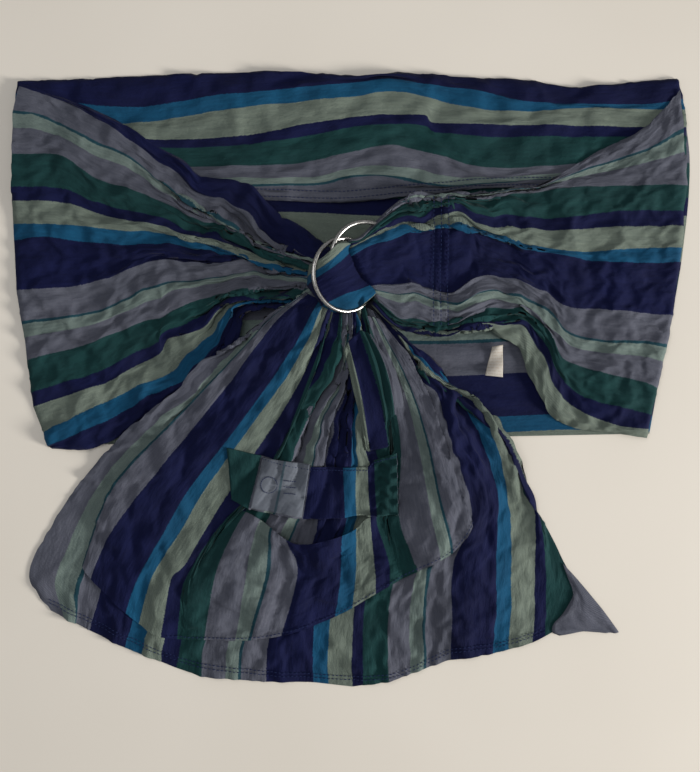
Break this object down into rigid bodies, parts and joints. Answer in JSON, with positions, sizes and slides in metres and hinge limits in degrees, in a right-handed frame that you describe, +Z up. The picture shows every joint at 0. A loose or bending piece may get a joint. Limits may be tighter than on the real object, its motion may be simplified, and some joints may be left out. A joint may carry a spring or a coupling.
{
  "type": "baby ring sling",
  "caption": "Striped woven baby sling laid flat: a loop of cloth drawn through a pair of metal rings, with a free tail that carries a flapped pocket.",
  "frame": {"origin": "on the floor under the centre of the object's box", "axes": "+Z up from the floor, +Y from the tail's hem towards the top fold, +X towards the sewn shoulder's side fold"},
  "size_m": [0.758, 0.6879, 0.055],
  "materials": {
    "navy_cloth": "matt woven cotton",
    "grey_cloth": "matt woven cotton",
    "sage_cloth": "matt woven cotton twill, salt and pepper",
    "green_cloth": "matt woven cotton",
    "blue_thread": "sewing thread",
    "patch_cloth": "matt woven label",
    "label_tape": "smooth satin tape",
    "ring_metal": "satin, lightly worn"
  },
  "bodies": {
    "back_loop": {"back_panel": "navy_cloth", "top_rail_fold": "sage_cloth", "top_rail_hem": "grey_cloth", "left_front_panel": "green_cloth", "right_front_panel": "navy_cloth", "lower_rail": "sage_cloth"},
    "label": {"care_label": "label_tape"},
    "shoulder": {"shoulder_pleats": "navy_cloth", "shoulder_stitching_1": "blue_thread", "shoulder_stitching_2": "blue_thread", "shoulder_stitching_3": "blue_thread", "ring_loop": "navy_cloth"},
    "ring_pair": {"ring_wrap": "navy_cloth"},
    "front_ring": {"front_ring": "ring_metal"},
    "rear_ring": {"rear_ring": "ring_metal"},
    "left_feed": {"left_gathers": "grey_cloth"},
    "throat": {"tail_gathers": "grey_cloth"},
    "tail": {"tail_panel": "navy_cloth", "tail_hem": "grey_cloth", "tail_corner": "grey_cloth", "tail_roll": "sage_cloth", "pocket_bag": "green_cloth", "pocket_hem": "grey_cloth", "pocket_seam": "blue_thread"},
    "flap": {"pocket_flap": "green_cloth", "flap_patch": "patch_cloth"}
  },
  "joints": [
    {"name": "loop_open", "type": "slide", "parent": "back_loop", "child": "shoulder", "axis": [0, 0, 1], "range_m": [0, 0.06]},
    {"name": "ring_lift", "type": "hinge", "parent": "shoulder", "child": "ring_pair", "pos_m": [0.03, 0.113, 0.02], "axis": [0, 1, 0], "range_deg": [0, 15]},
    {"name": "front_ring_spin", "type": "hinge", "parent": "ring_pair", "child": "front_ring", "pos_m": [-0.007, 0.113, 0.032], "axis": [0.515, 0, 0.8572], "continuous": true},
    {"name": "rear_ring_spin", "type": "hinge", "parent": "ring_pair", "child": "rear_ring", "pos_m": [0.016, 0.131, 0.034], "axis": [0.342, 0, 0.9397], "continuous": true},
    {"name": "tail_pull", "type": "slide", "parent": "shoulder", "child": "throat", "axis": [0, -1, 0], "range_m": [0, 0.02]},
    {"name": "loop_feed", "type": "slide", "parent": "shoulder", "child": "left_feed", "axis": [1, 0, 0], "range_m": [0, 0.02]},
    {"name": "tail_lift", "type": "hinge", "parent": "throat", "child": "tail", "pos_m": [-0.03, 0.035, 0.024], "axis": [-1, 0, 0], "range_deg": [0, 70]},
    {"name": "flap_open", "type": "hinge", "parent": "tail", "child": "flap", "pos_m": [-0.04, -0.076, 0.0136], "axis": [-1, 0, 0], "range_deg": [0, 120]},
    {"name": "label_flip", "type": "hinge", "parent": "back_loop", "child": "label", "pos_m": [0.1686, 0.022, 0.0084], "axis": [0, 1, 0], "range_deg": [0, 110]}
  ],
  "couplings": [
    {"joint": "loop_feed", "follows": "tail_pull", "ratio": 1}
  ]
}
